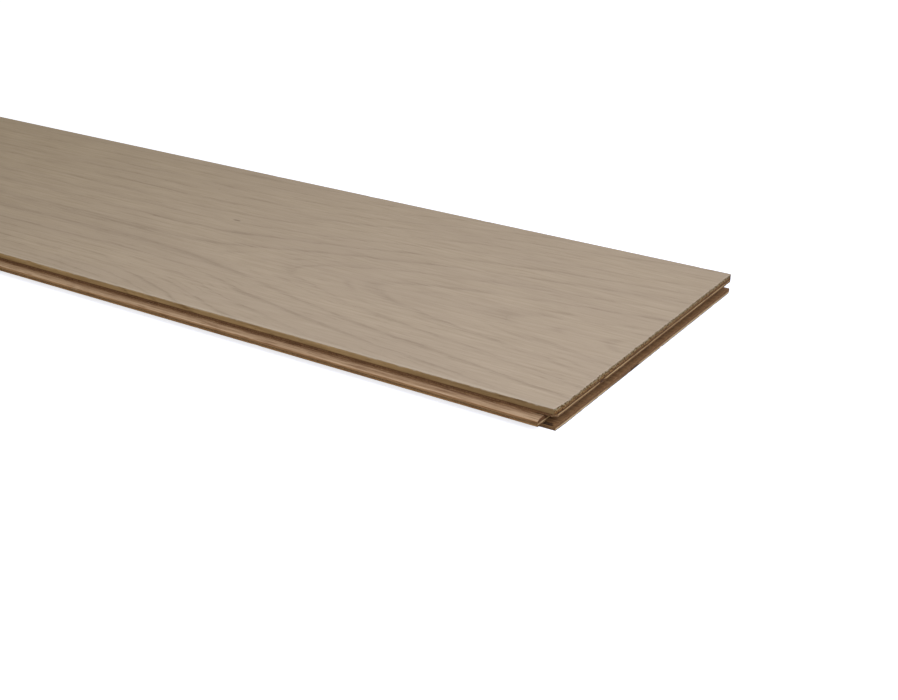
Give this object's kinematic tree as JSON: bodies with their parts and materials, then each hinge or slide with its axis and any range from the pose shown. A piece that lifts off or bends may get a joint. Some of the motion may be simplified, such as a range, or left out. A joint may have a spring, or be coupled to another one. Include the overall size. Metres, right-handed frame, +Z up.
{
  "type": "engineered floorboard",
  "caption": "Wide engineered oak floorboard with a grey-beige matt oak face on a plywood core, tongued and grooved on all four edges.",
  "frame": {"origin": "centre of the bounding box on the underside, so that the board lies on the plane Z = 0", "axes": "+X along the board towards its grooved end, +Y across it towards its grooved side, +Z up out of the oak face"},
  "size_m": [2.207, 0.267, 0.015],
  "materials": {
    "oak_face": "brushed oak with a grey-beige matt lacquer",
    "long_ply": "bare milled ply, grain along the board",
    "cross_ply": "bare milled ply, grain across the board"
  },
  "bodies": {
    "root": {"oak_wear_layer": "oak_face", "core_ply_1": "long_ply", "core_ply_2": "cross_ply", "core_ply_3": "long_ply", "core_ply_4": "long_ply", "core_ply_5": "cross_ply", "core_ply_6": "long_ply", "core_ply_7": "long_ply", "core_ply_8": "cross_ply", "backing_ply": "long_ply"}
  },
  "joints": []
}
